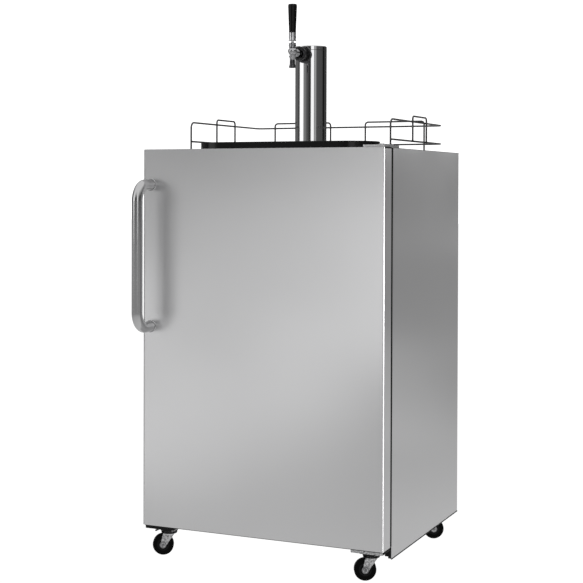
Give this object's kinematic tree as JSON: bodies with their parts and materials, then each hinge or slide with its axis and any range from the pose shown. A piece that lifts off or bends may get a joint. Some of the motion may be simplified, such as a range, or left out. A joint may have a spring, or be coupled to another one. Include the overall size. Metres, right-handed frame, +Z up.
{
  "type": "kegerator",
  "caption": "Single-tap draft beer refrigerator: stainless door and cabinet on swivel casters, wire guard rail and black drip tray on top, round tower with faucet.",
  "frame": {"origin": "on the floor under the middle of the whole object's box, handle included", "axes": "+Z up, -Y towards the user in front of the door, +X to the user's right"},
  "size_m": [0.6, 0.66, 1.318],
  "materials": {
    "stainless": "satin, fine horizontal grain",
    "polished_steel": "polished",
    "chrome_wire": "bright plated wire",
    "chrome": "bright plated",
    "galvanised": "grey zinc coated sheet",
    "grey_steel": "light grey paint",
    "zinc": "bright zinc plate",
    "foam": "rigid foam insulation",
    "white_liner": "glossy white sheet",
    "coil_aluminium": "bare tube",
    "black_plastic": "moulded black",
    "black_enamel": "black enamel",
    "black_tray": "glossy black moulding",
    "black_gloss": "glossy black lacquer",
    "bottle_aluminium": "brushed",
    "brass": "plated brass",
    "gauge_case": "white dial in a bright case",
    "beer_hose": "clear flexible hose",
    "gas_hose": "red flexible hose",
    "gasket_rubber": "dark grey magnetic gasket",
    "wheel_rubber": "hard black rubber"
  },
  "bodies": {
    "cabinet": {"side_panel_left": "stainless", "side_panel_right": "stainless", "top_panel": "stainless", "back_panel": "galvanised", "base_pan": "black_enamel", "front_frame": "grey_steel", "cabinet_foam": "foam", "inner_liner": "white_liner", "floor_plate": "stainless", "evaporator_cover": "white_liner", "evaporator_unit": "coil_aluminium", "thermostat_box": "white_liner", "compressor": "black_enamel", "condenser": "black_enamel", "rear_cover": "galvanised", "cord_gland": "black_plastic", "left_bracket": "black_enamel", "lower_hinge": "zinc", "upper_hinge": "zinc", "guard_rail": "chrome_wire", "tower_flange": "polished_steel", "tower_column": "polished_steel", "tower_cap": "polished_steel", "shank": "chrome", "coupling_nut": "chrome", "faucet_body": "chrome", "faucet_bonnet": "chrome", "co2_cylinder": "bottle_aluminium", "cylinder_valve": "brass", "regulator": "brass", "pressure_gauges": "gauge_case", "keg_coupler": "chrome", "beer_line": "beer_hose", "gas_line": "gas_hose", "caster_plates": "zinc"},
    "door": {"door_skin": "stainless", "door_foam": "foam", "door_liner": "white_liner", "door_gasket": "gasket_rubber", "door_handle": "polished_steel"},
    "drip_tray": {"drip_tray": "black_tray"},
    "drip_grille": {"drip_grille": "polished_steel"},
    "tap_lever": {"faucet_lever": "chrome", "tap_ferrule": "chrome", "tap_handle": "black_gloss"},
    "valve_rod": {"faucet_shaft": "chrome"},
    "evaporator_fan": {"evaporator_fan": "black_plastic"},
    "thermostat_knob": {"thermostat_knob": "black_plastic"},
    "valve_handwheel": {"valve_handwheel": "black_plastic"},
    "regulator_knob": {"regulator_knob": "black_plastic"},
    "coupler_lever": {"coupler_lever": "black_plastic"},
    "caster_front_left": {"caster_fork_front_left": "zinc"},
    "wheel_front_left": {"wheel_front_left": "wheel_rubber"},
    "caster_front_right": {"caster_fork_front_right": "zinc"},
    "wheel_front_right": {"wheel_front_right": "wheel_rubber"},
    "caster_rear_left": {"caster_fork_rear_left": "zinc"},
    "wheel_rear_left": {"wheel_rear_left": "wheel_rubber"},
    "caster_rear_right": {"caster_fork_rear_right": "zinc"},
    "wheel_rear_right": {"wheel_rear_right": "wheel_rubber"}
  },
  "joints": [
    {"name": "door_hinge", "type": "hinge", "parent": "cabinet", "child": "door", "pos_m": [0.285, -0.226, 0.52], "axis": [0, 0, 1], "range_deg": [0, 115]},
    {"name": "tap_pull", "type": "hinge", "parent": "cabinet", "child": "tap_lever", "pos_m": [0, -0.059, 1.218], "axis": [1, 0, 0], "range_deg": [0, 28]},
    {"name": "valve_rod_slide", "type": "slide", "parent": "cabinet", "child": "valve_rod", "axis": [0, 1, 0], "range_m": [0, 0.006]},
    {"name": "drip_tray_lift", "type": "slide", "parent": "cabinet", "child": "drip_tray", "axis": [0, 0, 1], "range_m": [0, 0.06]},
    {"name": "drip_grille_lift", "type": "slide", "parent": "drip_tray", "child": "drip_grille", "axis": [0, 0, 1], "range_m": [0, 0.04]},
    {"name": "evaporator_fan_spin", "type": "hinge", "parent": "cabinet", "child": "evaporator_fan", "pos_m": [0, 0.254, 0.78], "axis": [0, 1, 0], "continuous": true},
    {"name": "thermostat_turn", "type": "hinge", "parent": "cabinet", "child": "thermostat_knob", "pos_m": [0.13, -0.16, 0.899], "axis": [0, -1, 0], "range_deg": [0, 270]},
    {"name": "cylinder_valve_turn", "type": "hinge", "parent": "cabinet", "child": "valve_handwheel", "pos_m": [0.17, -0.06, 0.54], "axis": [0, 0, 1], "range_deg": [0, 720]},
    {"name": "regulator_turn", "type": "hinge", "parent": "cabinet", "child": "regulator_knob", "pos_m": [0.092, -0.1, 0.4995], "axis": [0, -1, 0], "range_deg": [0, 720]},
    {"name": "coupler_lever_push", "type": "hinge", "parent": "cabinet", "child": "coupler_lever", "pos_m": [-0.15, 0.205, 0.377], "axis": [1, 0, 0], "range_deg": [0, 40]},
    {"name": "swivel_front_left", "type": "hinge", "parent": "cabinet", "child": "caster_front_left", "pos_m": [-0.25, -0.213, 0.058], "axis": [0, 0, 1], "continuous": true},
    {"name": "swivel_front_right", "type": "hinge", "parent": "cabinet", "child": "caster_front_right", "pos_m": [0.26, -0.213, 0.058], "axis": [0, 0, 1], "continuous": true},
    {"name": "swivel_rear_left", "type": "hinge", "parent": "cabinet", "child": "caster_rear_left", "pos_m": [-0.25, 0.206, 0.058], "axis": [0, 0, 1], "continuous": true},
    {"name": "swivel_rear_right", "type": "hinge", "parent": "cabinet", "child": "caster_rear_right", "pos_m": [0.26, 0.206, 0.058], "axis": [0, 0, 1], "continuous": true},
    {"name": "roll_front_left", "type": "hinge", "parent": "caster_front_left", "child": "wheel_front_left", "pos_m": [-0.26279, -0.21869, 0.025], "axis": [-0.4067, 0.9135, 0], "continuous": true},
    {"name": "roll_front_right", "type": "hinge", "parent": "caster_front_right", "child": "wheel_front_right", "pos_m": [0.24721, -0.21869, 0.025], "axis": [-0.4067, 0.9135, 0], "continuous": true},
    {"name": "roll_rear_left", "type": "hinge", "parent": "caster_rear_left", "child": "wheel_rear_left", "pos_m": [-0.26279, 0.20031, 0.025], "axis": [-0.4067, 0.9135, 0], "continuous": true},
    {"name": "roll_rear_right", "type": "hinge", "parent": "caster_rear_right", "child": "wheel_rear_right", "pos_m": [0.27279, 0.21169, 0.025], "axis": [0.4067, -0.9135, 0], "continuous": true}
  ],
  "couplings": [
    {"joint": "valve_rod_slide", "follows": "tap_pull", "m_per_rad": 0.012}
  ]
}
